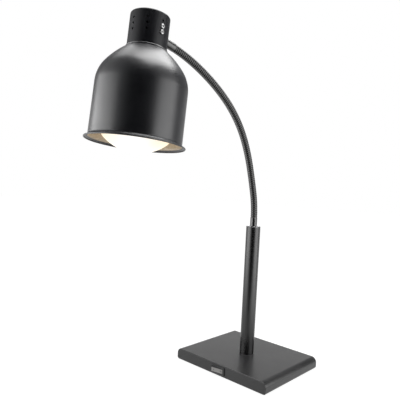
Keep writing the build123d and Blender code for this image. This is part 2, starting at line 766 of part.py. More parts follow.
def make_neck():
    outer = cylinder(neck_radius, crown_height, neck_top_height)
    outer = fillet(outer.edges().filter_by(GeomType.CIRCLE).sort_by(Axis.Z)[-1], neck_top_round)
    lip = cylinder(neck_radius + neck_lip, crown_height, crown_height + neck_lip_height)
    lip = chamfer(lip.edges().filter_by(GeomType.CIRCLE).sort_by(Axis.Z)[-1], neck_lip_chamfer)
    inner = cylinder(neck_inner, crown_height - 1, neck_top_height - neck_sheet)
    inner = fillet(inner.edges().filter_by(GeomType.CIRCLE).sort_by(Axis.Z)[-1], neck_top_round - neck_sheet)
    cup = outer + lip - inner
    vents = []
    for column in range(vent_columns):
        turn = column * 360 / vent_columns
        if turn != 90:
            vent = cylinder(vent_radius, neck_inner - 3, neck_radius + 1, Axis.X)
            vents += [Rot(0, 0, turn) * Pos(0, 0, height) * vent for height in vent_heights]
        slot = Pos((slot_inner + slot_outer) / 2, 0, neck_top_height - neck_sheet - 1) * extrude(
            SlotCenterToCenter(slot_outer - slot_inner, 2 * slot_radius), neck_sheet + 2)
        vents.append(Rot(0, 0, turn) * slot)
    return cup - vents


neck_cup = in_head(make_neck()) - arm_plane * cylinder(nipple_radius + 0.3, upper_ferrule_length - 8,
                                                       upper_ferrule_length + 8)
parts["neck_cup"] = neck_cup


# Bracket, its two silver screws, and the ceramic lamp holder with its shell and contact

def make_bracket():
    leg_inner = neck_inner - bracket_sheet - bracket_play
    shelf = block((-bracket_reach, -bracket_width / 2, bracket_level),
                  (leg_inner + 0.5, bracket_width / 2, bracket_level + bracket_sheet))
    leg = block((leg_inner, -bracket_width / 2, bracket_level),
                (neck_radius, bracket_width / 2, bracket_top))
    leg = leg & cylinder(neck_inner - saddle_clearance, bracket_level, bracket_top)
    bracket = shelf + leg
    for height in vent_heights[1:]:
        bracket = bracket - Pos(0, 0, height) * cylinder(vent_radius, leg_inner - 2, neck_radius, Axis.X)
    for x in (-holder_screw_x, holder_screw_x):
        bracket = bracket - Pos(x, 0, bracket_level) * cylinder(
            holder_screw_radius + thread_clearance, -1, bracket_sheet + 1)
    return bracket


parts["holder_bracket"] = in_head(make_bracket())

head_screw = pan_screw(vent_radius - thread_clearance, head_screw_length, head_screw_radius, head_screw_head)
head_screws = [Plane(origin=(neck_radius, 0, height), x_dir=(0, 1, 0), z_dir=(1, 0, 0))
               * Rot(0, 0, turn) * head_screw for height, turn in zip(vent_heights[1:], head_screw_turns)]
parts["head_screws"] = in_head(Compound(children=head_screws))

lampholder = cylinder(holder_radius, holder_mouth, bracket_level)
lampholder = fillet(lampholder.edges().filter_by(GeomType.CIRCLE), holder_round)
lampholder = lampholder - cylinder(holder_cavity_radius, holder_mouth - 1, cavity_top)
for x in (-holder_screw_x, holder_screw_x):
    lampholder = lampholder - Pos(x, 0, 0) * cylinder(
        holder_screw_radius + thread_clearance, cavity_top + holder_screw_tip - 0.5, bracket_level + 1)
for x in (-terminal_x, terminal_x):
    lampholder = lampholder - Pos(x, terminal_y, 0) * cylinder(
        terminal_radius, cavity_top + 1, bracket_level + 1)
parts["lampholder"] = in_head(lampholder)

holder_screw = Pos(0, 0, bracket_level + bracket_sheet) * pan_screw(
    holder_screw_radius, bracket_sheet + holder_roof - holder_screw_tip, holder_screw_head, small_head_height)
parts["holder_screws"] = in_head(Compound(children=[Pos(x, 0, 0) * holder_screw
                                                    for x in (-holder_screw_x, holder_screw_x)]))

parts["screw_shell"] = in_head(cylinder(shell_radius, holder_mouth + holder_mouth_inset, shell_top)
                               - cylinder(shell_radius - shell_wall, holder_mouth, shell_top + 1))

tongue_low = bulb_tip + tongue_gap
half_tongue = tongue_width / 2
tongue = block((-tongue_back, -half_tongue, tongue_low),
               (tongue_reach, half_tongue, tongue_low + tongue_sheet))
tongue = tongue + block((tongue_reach - tongue_sheet, -half_tongue, tongue_low),
                        (tongue_reach, half_tongue, cavity_top))
parts["centre_contact"] = in_head(tongue)

arm_start_in_head = head.inverse() * arm_plane.location
lead_points = []
for side in (-1, 1):
    begin = arm_start_in_head * Location((side * wire_spacing / 2, 0, ferrule_grip))
    leave = arm_start_in_head * Location((side * wire_spacing / 2, 0, stub_end + 1.5))
    turn = (side * terminal_x, terminal_y, leave.position.Z - 1)
    lead_points.append([tuple(begin.position), tuple(leave.position), turn,
                        (side * terminal_x, terminal_y, cavity_top + 1.2)])
parts["head_leads"] = in_head(Compound(children=[wire(points, [3, 2.6]) for points in lead_points]))


# Reflector bulb: thin glass, filament mount, cap and tip

def glass_profile(inset):
    """Outline of the glass from its front pole to the end inside the cap."""
    centre = bulb_front + bulb_sphere_radius
    sphere = bulb_sphere_radius - inset
    face = bulb_face_radius - inset * 0.6
    middle = face / 2
    middle_z = centre - sqrt(sphere ** 2 - middle ** 2)
    in_cap = cap_inner - tongue_gap - inset
    front_face = ThreePointArc((0, 0, centre - sphere), (middle, 0, middle_z),
                               (face, 0, centre - sqrt(sphere ** 2 - face ** 2)))
    corner = TangentArc(front_face @ 1, (bulb_radius - inset, 0, bulb_front + bulb_widest_height),
                        tangent=front_face % 1)
    shoulder = TangentArc(corner @ 1, (bulb_shoulder_radius - inset, 0, bulb_front + bulb_shoulder_height),
                          tangent=corner % 1)
    cone = Line(shoulder @ 1, (bulb_cone_radius - inset, 0, bulb_front + bulb_cone_height))
    stem = Line(cone @ 1, (bulb_neck_radius - inset, 0, bulb_front + bulb_neck_height))
    waist = Line(stem @ 1, (in_cap, 0, bulb_cap_low - bulb_waist_gap))
    end = Line(waist @ 1, (in_cap, 0, glass_end))
    return [front_face, corner, shoulder, cone, stem, waist, end]


cap_inner = bulb_cap_radius - bulb_cap_sheet
outside = glass_profile(0)
inside = glass_profile(bulb_glass)
closing = [Line(outside[0] @ 0, inside[0] @ 0), Line(outside[-1] @ 1, inside[-1] @ 1)]
parts["bulb_glass"] = in_head(revolve(make_face(Wire(outside + inside + closing)), Axis.Z))

insulator_radius = cap_inner * insulator_share
insulator_seat = insulator_radius - thread_clearance
parts["bulb_cap"] = in_head(revolved([
    (bulb_cap_radius, bulb_cap_low), (bulb_cap_radius, bulb_cap_high),
    (insulator_radius + 1, bulb_cap_high + 2), (insulator_radius, bulb_cap_high + 2),
    (insulator_radius, bulb_cap_high + 1), (cap_inner, bulb_cap_high - 1), (cap_inner, bulb_cap_low)]))
insulator = revolved([
    (0, bulb_cap_high), (insulator_seat, bulb_cap_high), (insulator_seat, bulb_cap_high + 2),
    (bulb_tip_radius + 0.5, bulb_cap_high + bulb_insulator_height),
    (0, bulb_cap_high + bulb_insulator_height)])
tip = cylinder(bulb_tip_radius, bulb_cap_high + bulb_insulator_height, bulb_tip)
parts["bulb_contact"] = in_head(Compound(children=[insulator, tip]))

stem_seat = cap_inner - tongue_gap - bulb_glass - stem_fit
stem_tip = glass_end - stem_length
mount_stem = revolved([
    (0, stem_tip), (stem_tip_radius, stem_tip), (stem_tip_radius * 1.6, stem_tip + stem_length * 0.2),
    (stem_seat * 0.55, glass_end - stem_length * 0.3), (stem_seat, glass_end - 2), (stem_seat, glass_end),
    (0, glass_end)])
filament_height = stem_tip - support_length / 2
for x in (-support_spacing / 2, support_spacing / 2):
    mount_stem = mount_stem + Pos(x, 0, 0) * cylinder(support_radius, filament_height,
                                                      filament_height + support_length)
filament = Pos(0, 0, filament_height) * cylinder(
    filament_radius, -filament_length / 2, filament_length / 2, Axis.X)
parts["filament_mount"] = in_head(mount_stem + filament)


os.makedirs("parts", exist_ok=True)
for name, shape in parts.items():
    export_step(shape, f"parts/{name}.step")

for number, pivot in enumerate(pivots, start=1):
    print(f"pivot {number}: y {pivot[0]:.3f}, z {pivot[1]:.3f}, heading {pivot[2]:.2f}")
print(f"arm end: y {arm_end[0]:.3f}, z {arm_end[1]:.3f}, heading {arm_end[2]:.2f}")
print(f"rim centre: y {rim_y:.3f}, z {rim_z:.3f}; rocker pivot: y {rocker_pivot_y:.2f}, z {switch_z:.2f}")
print(f"{len(parts)} nodes")
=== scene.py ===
import json
from math import acos, atan2, cos, degrees, hypot, pi, radians, sin, sqrt

import bpy
from mathutils import Matrix, Vector


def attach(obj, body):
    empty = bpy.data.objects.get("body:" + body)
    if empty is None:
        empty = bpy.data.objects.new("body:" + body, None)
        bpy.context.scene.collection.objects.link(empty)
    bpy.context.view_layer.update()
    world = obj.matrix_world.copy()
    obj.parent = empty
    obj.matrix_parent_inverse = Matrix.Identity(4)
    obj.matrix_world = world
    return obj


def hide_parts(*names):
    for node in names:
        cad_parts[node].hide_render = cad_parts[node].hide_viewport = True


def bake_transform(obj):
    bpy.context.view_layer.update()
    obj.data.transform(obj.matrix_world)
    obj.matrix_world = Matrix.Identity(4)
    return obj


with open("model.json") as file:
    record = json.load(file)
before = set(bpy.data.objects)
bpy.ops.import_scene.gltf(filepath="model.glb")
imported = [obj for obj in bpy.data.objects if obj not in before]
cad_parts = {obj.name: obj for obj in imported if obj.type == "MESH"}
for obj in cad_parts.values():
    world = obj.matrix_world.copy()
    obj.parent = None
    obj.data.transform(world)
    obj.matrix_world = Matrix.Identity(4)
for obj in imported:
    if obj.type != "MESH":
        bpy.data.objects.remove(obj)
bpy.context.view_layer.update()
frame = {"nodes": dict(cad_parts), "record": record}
nodes = frame["nodes"]
mm = 0.001
print("frame loaded:", len(nodes), "nodes")


# head frame: middle of the shade's rim, Z up its axis, leaning towards the arm

head = dict(
    tilt=5.7,                            # degrees
    rim=(0.0, -0.349457, 0.468893),      # metres; the pieces further down are in mm and degrees
)
headPlace = Matrix.Translation(head["rim"]) @ Matrix.Rotation(-radians(head["tilt"]), 4, "X")


# materials

def startMaterial(name, colour, roughness, metallic=0.0, specular=0.5):
    made = bpy.data.materials.new(name)
    made.use_nodes = True
    shader = made.node_tree.nodes["Principled BSDF"]
    shader.inputs["Base Color"].default_value = (*colour, 1.0)
    shader.inputs["Roughness"].default_value = roughness
    shader.inputs["Metallic"].default_value = metallic
    shader.inputs["Specular IOR Level"].default_value = specular
    return made, shader


def objectNoise(tree, scale, detail):
    where = tree.nodes.new("ShaderNodeTexCoord")
    noise = tree.nodes.new("ShaderNodeTexNoise")
    noise.inputs["Scale"].default_value = scale
    noise.inputs["Detail"].default_value = detail
    tree.links.new(where.outputs["Object"], noise.inputs["Vector"])
    return noise.outputs["Fac"]


def spread(tree, value, low, high, lowIn=0.3, highIn=0.7):
    ranged = tree.nodes.new("ShaderNodeMapRange")
    ranged.inputs["From Min"].default_value = lowIn
    ranged.inputs["From Max"].default_value = highIn
    ranged.inputs["To Min"].default_value = low
    ranged.inputs["To Max"].default_value = high
    tree.links.new(value, ranged.inputs["Value"])
    return ranged.outputs["Result"]


def colourBetween(tree, value, dark, light, lowIn=0.3, highIn=0.7):
    ramp = tree.nodes.new("ShaderNodeValToRGB")
    ramp.color_ramp.elements[0].position = lowIn
    ramp.color_ramp.elements[0].color = (*dark, 1.0)
    ramp.color_ramp.elements[1].position = highIn
    ramp.color_ramp.elements[1].color = (*light, 1.0)
    tree.links.new(value, ramp.inputs["Fac"])
    return ramp.outputs["Color"]


def addBump(tree, shader, value, strength, depth):
    bump = tree.nodes.new("ShaderNodeBump")
    bump.inputs["Strength"].default_value = strength
    bump.inputs["Distance"].default_value = depth
    tree.links.new(value, bump.inputs["Height"])
    tree.links.new(bump.outputs["Normal"], shader.inputs["Normal"])


def addGrain(tree, shader, tone, dark, light, smoothest, roughest):
    # colour and gloss that both follow the tone
    tree.links.new(colourBetween(tree, tone, dark, light), shader.inputs["Base Color"])
    tree.links.new(spread(tree, tone, smoothest, roughest), shader.inputs["Roughness"])


def powderCoat(name, dark, light, roughness, specular=0.5):
    # baked powder paint: fine orange peel, slightly uneven gloss
    made, shader = startMaterial(name, light, roughness, specular=specular)
    tree = made.node_tree
    cloud = objectNoise(tree, scale=25.0, detail=3.0)
    peel = objectNoise(tree, scale=900.0, detail=2.0)
    addGrain(tree, shader, cloud, dark, light, smoothest=roughness - 0.03, roughest=roughness + 0.03)
    addBump(tree, shader, peel, strength=0.35, depth=0.00006)
    return made


def metalFinish(name, dark, light, roughness, scale=300.0):
    # bare or plated metal, faintly mottled
    made, shader = startMaterial(name, light, roughness, metallic=1.0)
    tree = made.node_tree
    mottle = objectNoise(tree, scale, detail=4.0)
    addGrain(tree, shader, mottle, dark, light, smoothest=roughness - 0.06, roughest=roughness + 0.08)
    addBump(tree, shader, mottle, strength=0.15, depth=0.00003)
    return made


def moulded(name, dark, light, roughness, scale=1400.0, depth=0.00004):
    # moulded plastic, rubber, enamel, cast iron, glass or glazed ceramic
    made, shader = startMaterial(name, light, roughness)
    tree = made.node_tree
    grain = objectNoise(tree, scale, detail=2.0)
    addGrain(tree, shader, grain, dark, light, smoothest=roughness - 0.04, roughest=roughness + 0.05)
    addBump(tree, shader, grain, strength=0.25, depth=depth)
    return made


shadeDark = (0.0046, 0.0049, 0.0064)
shadeLight = (0.0062, 0.0065, 0.0084)
finish = {      # the key is the material slot
    "base_paint": powderCoat("basePaint", (0.016, 0.016, 0.0165), (0.021, 0.021, 0.0215), 0.31),
    "post_paint": powderCoat("postPaint", (0.006, 0.006, 0.0063), (0.009, 0.009, 0.0093), 0.29),
    "shade_paint": powderCoat("shadePaint", shadeDark, shadeLight, 0.36),
    "gooseneck_paint": powderCoat("gooseneckPaint", (0.005, 0.005, 0.005), (0.008, 0.008, 0.008), 0.19,
                                  specular=0.6),
    "plated_steel": metalFinish("platedSteel", (0.50, 0.50, 0.52), (0.66, 0.66, 0.68), 0.34),
    "ballast_iron": moulded("ballastIron", (0.06, 0.06, 0.062), (0.11, 0.11, 0.11), 0.72,
                            scale=400.0, depth=0.0002),
    "screw_steel": metalFinish("screwSteel", (0.24, 0.24, 0.24), (0.34, 0.34, 0.34), 0.24, scale=900.0),
    "switch_bezel": moulded("switchBezel", (0.014, 0.014, 0.015), (0.022, 0.022, 0.023), 0.30),
    "switch_rocker": moulded("rockerFace", (0.42, 0.41, 0.40), (0.54, 0.53, 0.52), 0.30),
    "gland_nylon": moulded("glandNylon", (0.018, 0.018, 0.019), (0.027, 0.027, 0.028), 0.45),
    "foot_rubber": moulded("footRubber", (0.020, 0.020, 0.020), (0.032, 0.032, 0.032), 0.82, scale=900.0),
    "seal_rubber": moulded("sealRubber", (0.030, 0.030, 0.030), (0.045, 0.045, 0.045), 0.80, scale=900.0),
    "terminal_plastic": moulded("terminalPlastic", (0.50, 0.48, 0.43), (0.58, 0.56, 0.51), 0.50),
    "brass_parts": metalFinish("brassParts", (0.58, 0.42, 0.17), (0.72, 0.55, 0.26), 0.30),
    "lead_insulation": moulded("leadInsulation", (0.20, 0.035, 0.022), (0.26, 0.05, 0.03), 0.48),
    "lampholder_ceramic": moulded("lampholderCeramic", (0.70, 0.68, 0.63), (0.80, 0.78, 0.74), 0.18,
                                  scale=120.0),
    "bulb_metal": metalFinish("bulbMetal", (0.60, 0.60, 0.60), (0.76, 0.76, 0.76), 0.30),
    "mount_glass": moulded("mountGlass", (0.62, 0.66, 0.62), (0.74, 0.77, 0.74), 0.12, scale=150.0),
    "bulb_glass": moulded("bulbFrost", (0.85, 0.80, 0.70), (0.92, 0.87, 0.78), 0.30, scale=300.0),
}
lining = moulded("shadeLining", (0.50, 0.44, 0.36), (0.59, 0.52, 0.43), 0.45, scale=200.0)
markPaint = moulded("markPaint", (0.040, 0.040, 0.042), (0.055, 0.055, 0.058), 0.45)
silvering = metalFinish("silvering", (0.80, 0.80, 0.80), (0.90, 0.90, 0.90), 0.18, scale=150.0)
# the shade's own paint with weaker reflections, for the cup: painted shade
shadedCupPaint = powderCoat("shadedCupPaint", shadeDark, shadeLight, 0.36, specular=0.27)
# the shade's own paint with stronger reflections, for the cup's edge: painted highlight
litCupEdgePaint = powderCoat("litCupEdgePaint", shadeDark, shadeLight, 0.30, specular=1.0)


# glow of the bulb's front: frosted glass lit from behind, with a painted highlight: a white band across the
# face, turned towards the camera, and cream away from it

glow = dict(
    glass=(0.26, 0.25, 0.22), roughness=0.35, strength=1.0,
    # the turn of the painted white band, which points at the camera
    filament=-38.5,                      # degrees about the bulb's axis
    reach=(3.3, 1.0, 100.0),             # how far the glow reaches along it and across; height doesn't count
    middle=(1.02, 1.0, 0.96), edge=(0.98, 0.80, 0.54),
    whiteTo=0.016, creamFrom=0.056,      # metres across from the painted band's middle line
    frost=900.0, frostStrength=0.2, frostDepth=0.00005,
)


def moveInto(tree, vector, **place):
    # coordinates measured in a frame that lies at this place, turn and scale
    mapping = tree.nodes.new("ShaderNodeMapping")
    mapping.vector_type = "TEXTURE"
    for socket, value in place.items():
        mapping.inputs[socket].default_value = value
    tree.links.new(vector, mapping.inputs["Vector"])
    return mapping.outputs["Vector"]


def makeGlow(kit):
    made, shader = startMaterial("frostedGlow", kit["glass"], kit["roughness"])
    tree = made.node_tree
    where = tree.nodes.new("ShaderNodeTexCoord")
    inHead = moveInto(tree, where.outputs["Object"], Location=head["rim"],
                      Rotation=(-radians(head["tilt"]), 0.0, 0.0))
    # painted highlight: whitest along a band through the axis that points at the camera
    alongPaintedBand = moveInto(tree, inHead, Rotation=(0.0, 0.0, radians(kit["filament"])), Scale=kit["reach"])
    length = tree.nodes.new("ShaderNodeVectorMath")
    length.operation = "LENGTH"
    tree.links.new(alongPaintedBand, length.inputs[0])
    lit = colourBetween(tree, length.outputs["Value"], kit["middle"], kit["edge"],
                        kit["whiteTo"], kit["creamFrom"])
    tree.links.new(lit, shader.inputs["Emission Color"])
    shader.inputs["Emission Strength"].default_value = kit["strength"]
    frost = objectNoise(tree, kit["frost"], detail=2.0)
    addBump(tree, shader, frost, kit["frostStrength"], kit["frostDepth"])
    return made


frostedGlow = makeGlow(glow)

# each CAD solid gets the finish of its slot, and the cup a shaded copy of the shade's paint, with weaker
# reflections: painted shade
slotOf = {part["node"]: part["material_slot"] for part in frame["record"]["subparts"]}
for name, piece in nodes.items():
    piece.data.materials.clear()
    piece.data.materials.append(shadedCupPaint if name == "neck_cup" else finish[slotOf[name]])
print("materials made:", len(finish))


# outlines, as (radius, height) points in mm about the head's axis and above the rim's middle

samePoint = 1e-6     # points nearer than this are one
onAxis = 1e-4        # a radius under this is a pole


def arc(centre, radius, start, end, steps):
    # points on an arc, from start to end degrees
    return [(centre[0] + radius * cos(radians(start + (end - start) * i / steps)),
             centre[1] + radius * sin(radians(start + (end - start) * i / steps))) for i in range(steps + 1)]


def tangentArc(first, heading, last, steps):
    # arc that leaves first along heading (degrees) and ends at last
    chord = atan2(last[1] - first[1], last[0] - first[0])
    turn = 2 * (chord - radians(heading))
    points = []
    for i in range(steps + 1):
        part = turn * i / steps
        reach = hypot(last[0] - first[0], last[1] - first[1]) * sin(part / 2) / sin(turn / 2)
        way = radians(heading) + part / 2
        points.append((first[0] + reach * cos(way), first[1] + reach * sin(way)))
    return points


def line(first, last, steps):
    return [(first[0] + (last[0] - first[0]) * i / steps, first[1] + (last[1] - first[1]) * i / steps)
            for i in range(steps + 1)]


def fillet(first, corner, last, steps):
    # quadratic curve that rounds a corner
    points = []
    for i in range(steps + 1):
        t = i / steps
        points.append(tuple((1 - t) ** 2 * a + 2 * t * (1 - t) * b + t * t * c
                            for a, b, c in zip(first, corner, last)))
    return points


def joinRuns(*runs):
    # one outline from several, without the doubled points where they meet
    outline = []
    for run in runs:
        for point in run:
            if not outline or hypot(point[0] - outline[-1][0], point[1] - outline[-1][1]) > samePoint:
                outline.append(point)
    return outline


def inset(outline, depth):
    # outline moved to its left side by depth
    moved = []
    for i, point in enumerate(outline):
        before = outline[max(i - 1, 0)]
        after = outline[min(i + 1, len(outline) - 1)]
        length = hypot(after[0] - before[0], after[1] - before[1])
        moved.append((point[0] - (after[1] - before[1]) / length * depth,
                      point[1] + (after[0] - before[0]) / length * depth))
    return moved


# meshes

def linkMesh(name, points, faces, body, slot, *paints):
    mesh = bpy.data.meshes.new(name)
    mesh.from_pydata(points, [], faces)
    mesh.update()
    for paint in paints:
        mesh.materials.append(paint)
    made = bpy.data.objects.new(name, mesh)
    bpy.context.scene.collection.objects.link(made)
    if body:
        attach(made, body)
    return made


def smoothTo(piece, angle):
    # smooth shading, with edges sharper than the angle kept crisp
    mesh = piece.data
    mesh.shade_smooth()
    mesh.set_sharp_from_angle(angle=radians(angle))


def lathe(name, outline, around, slot, *paints, closed=True):
    # turns an outline about the head's axis; its first and last points may be poles
    points = []
    rings = []
    for radius, height in outline:
        if radius < onAxis:
            rings.append([len(points)])
            points.append(headPlace @ Vector((0.0, 0.0, height * mm)))
            continue
        rings.append(range(len(points), len(points) + around))
        for i in range(around):
            turn = 2 * pi * i / around
            points.append(headPlace @ Vector((radius * cos(turn) * mm, radius * sin(turn) * mm, height * mm)))
    faces = []
    bands = len(rings) if closed else len(rings) - 1
    for band in range(bands):
        low = rings[band]
        high = rings[(band + 1) % len(rings)]
        for i in range(around):
            j = (i + 1) % around
            if len(low) == 1:
                faces.append((low[0], high[j], high[i]))
            elif len(high) == 1:
                faces.append((low[i], low[j], high[0]))
            else:
                faces.append((low[i], low[j], high[j], high[i]))
    return linkMesh(name, points, faces, "head", slot, *paints)


# shade: spun steel, black outside and warm white inside, with a flared rim rolled over a bead

shade = dict(
    sheet=1.2, beadMiddle=(84.6, 1.3), bead=1.3, beadTurn=(235, 415),
    flangeEdge=(84.3, 2.5), flangeCorner=(79.3, 3.9), wallLow=(79.4, 8.0), wallHigh=(78.8, 94.0),
    shoulder=58.0, shoulderAngle=37.0, crown=(34.2, 161.4), land=25.0, liningFrom=4.2,
    around=224, beadSteps=12, flangeSteps=10, wallSteps=10, shoulderSteps=18, domeSteps=14, landSteps=2,
    crisp=38,
)


def shadeOutside(kit):
    # outside from the bead up to the hole under the cup
    middle = (kit["wallHigh"][0] - kit["shoulder"], kit["wallHigh"][1])
    flange = fillet(kit["flangeEdge"], kit["flangeCorner"], kit["wallLow"], kit["flangeSteps"])
    wall = line(flange[-1], kit["wallHigh"], kit["wallSteps"])
    shoulder = arc(middle, kit["shoulder"], 0, kit["shoulderAngle"], kit["shoulderSteps"])
    dome = tangentArc(shoulder[-1], 90 + kit["shoulderAngle"], kit["crown"], kit["domeSteps"])
    land = line(dome[-1], (kit["land"], kit["crown"][1]), kit["landSteps"])
    return joinRuns(flange, wall, shoulder, dome, land)


def makeShade(kit):
    # the outline runs round the bead, up the outside and back down the inside, which is lined
    outside = shadeOutside(kit)
    within = inset(outside, kit["sheet"])
    bead = arc(kit["beadMiddle"], kit["bead"], *kit["beadTurn"], kit["beadSteps"])
    outline = joinRuns(bead, outside, list(reversed(within)))
    piece = lathe("shadeShell", outline, kit["around"], "shade_paint", finish["shade_paint"], lining)
    inside = len(bead) + len(outside) - 1
    for number, face in enumerate(piece.data.polygons):
        band = number // kit["around"]
        lined = band >= inside and outline[band][1] > kit["liningFrom"]
        face.material_index = 1 if lined else 0
    smoothTo(piece, kit["crisp"])
    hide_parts("shade")


makeShade(shade)
print("shade made")


# curled lower edge of the cup, which stands on the shade and catches the light from above; its paint, the
# shade's with stronger reflections, is a painted highlight

cupEdge = dict(middle=(34.9, 161.8), wire=1.1, around=160, steps=12, crisp=60)


def makeCupEdge(kit):
    outline = arc(kit["middle"], kit["wire"], 0, 360, kit["steps"])[:-1]
    piece = lathe("cupEdge", outline, kit["around"], "shade_paint", litCupEdgePaint)
    smoothTo(piece, kit["crisp"])


makeCupEdge(cupEdge)
print("cup edge made")


# reflector bulb: frosted glowing front, silvered back

bulb = dict(
    front=-14.5, sphere=82.0, face=52.0, widest=(62.5, 18.0), shoulder=(55.5, 41.0),
    coneCorner=(49.0, 53.0), cone=(24.0, 108.0), stemCorner=(19.5, 118.0), stem=(18.5, 126.0),
    waistCorner=(18.0, 131.0), cap=(12.2, 134.2), end=142.0, frostTo=30.0,
    around=160, frontSteps=16, cornerSteps=12, shoulderSteps=10, coneSteps=12, stemSteps=6, waistSteps=5,
    crisp=60,
)


def bulbOutside(kit):
    # outside from the pole of the front up to the pole inside the metal cap
    middle = (0.0, kit["front"] + kit["sphere"])
    faceAngle = degrees(acos(kit["face"] / kit["sphere"]))
    front = arc(middle, kit["sphere"], -90, -faceAngle, kit["frontSteps"])
    corner = tangentArc(front[-1], 90 - faceAngle, kit["widest"], kit["cornerSteps"])
    chord = degrees(atan2(corner[-1][1] - corner[0][1], corner[-1][0] - corner[0][0]))
    turned = 2 * chord - (90 - faceAngle)
    shoulder = tangentArc(corner[-1], turned, kit["shoulder"], kit["shoulderSteps"])
    cone = fillet(shoulder[-1], kit["coneCorner"], kit["cone"], kit["coneSteps"])
    stem = fillet(cone[-1], kit["stemCorner"], kit["stem"], kit["stemSteps"])
    waist = fillet(stem[-1], kit["waistCorner"], kit["cap"], kit["waistSteps"])
    return joinRuns([(0.0, kit["front"])], front[1:], corner, shoulder, cone, stem, waist,
                    [(kit["cap"][0], kit["end"]), (0.0, kit["end"])])


def makeBulb(kit):
    # silvered above frostTo
    outline = bulbOutside(kit)
    piece = lathe("bulbEnvelope", outline, kit["around"], "bulb_glass", frostedGlow, silvering, closed=False)
    frosted = sum(1 for radius, height in outline if height <= kit["frostTo"])
    for number, face in enumerate(piece.data.polygons):
        face.material_index = 1 if number // kit["around"] >= frosted else 0
    smoothTo(piece, kit["crisp"])
    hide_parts("bulb_glass")


makeBulb(bulb)
print("bulb made")


# gooseneck: one wound tube, cut in the middle of each section, so that every cut lies on a rigid stretch

gooseneck = dict(
    start=336.5, section=56.0, bends=(15.4, 3.1, 9.0, 14.0, 12.6, 8.1, 6.9, 8.7), turns=13,
    radius=7.6, wire=3.0, ringsPerTurn=12, around=44, tail=9.0,
    lengthProbe=0.05, turnProbe=0.01,    # mm and radians between the points that give the skin's normals
)


def neckSpot(kit, distance):
    # (y, z, heading) of the tube's middle line, distance mm beyond the lower ferrule
    y = 0.0
    z = kit["start"]
    heading = 0.0
    left = distance
    if left < 0:
        return y, z + left, heading
    for bend in kit["bends"]:
        radius = kit["section"] / radians(bend)
        run = min(left, kit["section"])
        turned = heading + run / radius
        y += radius * (cos(turned) - cos(heading))
        z += radius * (sin(turned) - sin(heading))
        heading = turned
        left -= run
        if left <= 0:
            return y, z, heading
    return y - left * sin(heading), z + left * cos(heading), heading


def neckPoint(kit, distance, turn):
    # point of the tube's skin; the groove runs round it as a helix
    y, z, heading = neckSpot(kit, distance)
    pitch = kit["section"] / kit["turns"]
    phase = (distance / pitch - turn / (2 * pi)) % 1.0
    off = (phase - 0.5) * pitch
    radius = kit["radius"] - kit["wire"] + sqrt(kit["wire"] ** 2 - off ** 2)
    side = radius * cos(turn)
    lift = radius * sin(turn)
    return Vector((side, y + lift * cos(heading), z + lift * sin(heading))) * mm


def neckNormal(kit, distance, turn):
    # outward, from the skin's slope along the tube and around it
    near = kit["lengthProbe"]
    beside = kit["turnProbe"]
    along = neckPoint(kit, distance + near, turn) - neckPoint(kit, distance - near, turn)
    across = neckPoint(kit, distance, turn + beside) - neckPoint(kit, distance, turn - beside)
    return across.cross(along).normalized()


def makeNeckPiece(kit, name, first, last, body=None):
    around = kit["around"]
    pitch = kit["section"] / kit["turns"]
    rings = round((last - first) / pitch * kit["ringsPerTurn"])
    points = []
    normals = []
    for ring in range(rings + 1):
        distance = first + (last - first) * ring / rings
        for i in range(around):
            turn = 2 * pi * i / around
            points.append(neckPoint(kit, distance, turn))
            normals.append(neckNormal(kit, distance, turn))
    faces = []
    for ring in range(rings):
        low = ring * around
        for i in range(around):
            j = (i + 1) % around
            faces.append((low + i, low + j, low + around + j, low + around + i))
    faces.append(tuple(range(around - 1, -1, -1)))
    faces.append(tuple(range(rings * around, (rings + 1) * around)))
    piece = linkMesh(name, points, faces, body, "gooseneck_paint", finish["gooseneck_paint"])
    piece.data.shade_smooth()
    cornerNormals = []
    for face in piece.data.polygons:
        cutEnd = len(face.vertices) > 4
        cornerNormals += [face.normal if cutEnd else normals[v] for v in face.vertices]
    piece.data.normals_split_custom_set(cornerNormals)
    return piece


def makeGooseneck(kit):
    count = len(kit["bends"])
    middles = [kit["section"] * (k + 0.5) for k in range(count)]
    lowest = makeNeckPiece(kit, "gooseneckRoot", -kit["tail"], middles[0], "root")
    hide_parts("gooseneck_section_1")
    for k in range(count - 1):
        piece = makeNeckPiece(kit, f"gooseneckBend{k + 1}", middles[k], middles[k + 1])
        begin = neckSpot(kit, middles[k])
        end = neckSpot(kit, middles[k + 1])
        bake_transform(piece)
        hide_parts(f"gooseneck_section_{k + 2}")
    makeNeckPiece(kit, "gooseneckTop", middles[-1], kit["section"] * count + kit["tail"], "head")


makeGooseneck(gooseneck)
print("gooseneck made")


# rocker of the switch: black cap with a dished face and soft edges, pale lens, plain bar and ring

rocker = dict(
    pivot=(0.0, -98.0, 13.5), tilt=10.0, half=14.8, height=10.8, face=5.3, dish=0.7, skirt=1.5,
    heel=6.0, heelDepth=3.5, steps=24, edge=0.7, edgeSteps=4, edgeAngle=35, capCrisp=50,
    lensFrom=-14.0, lensTo=12.4, lensLow=-4.7, lensHigh=3.5, lensRise=0.2, lensCrisp=30,
    markReach=8.6, markUp=-0.6, markFrom=0.1, markTo=0.4,
    barSide=0.35, barUp=1.6,             # half sizes
    ring=1.75, ringHole=0.68,            # radius, and the hole as a share of it
    ringSteps=32,
)


def rockerPlace(kit):
    return Matrix.Translation(Vector(kit["pivot"]) * mm) @ Matrix.Rotation(radians(kit["tilt"]), 4, "Z")


def rockerFace(kit, x):
    # distance of the dished face from the pin's axis
    return kit["face"] - kit["dish"] * (1 - (x / kit["half"]) ** 2)


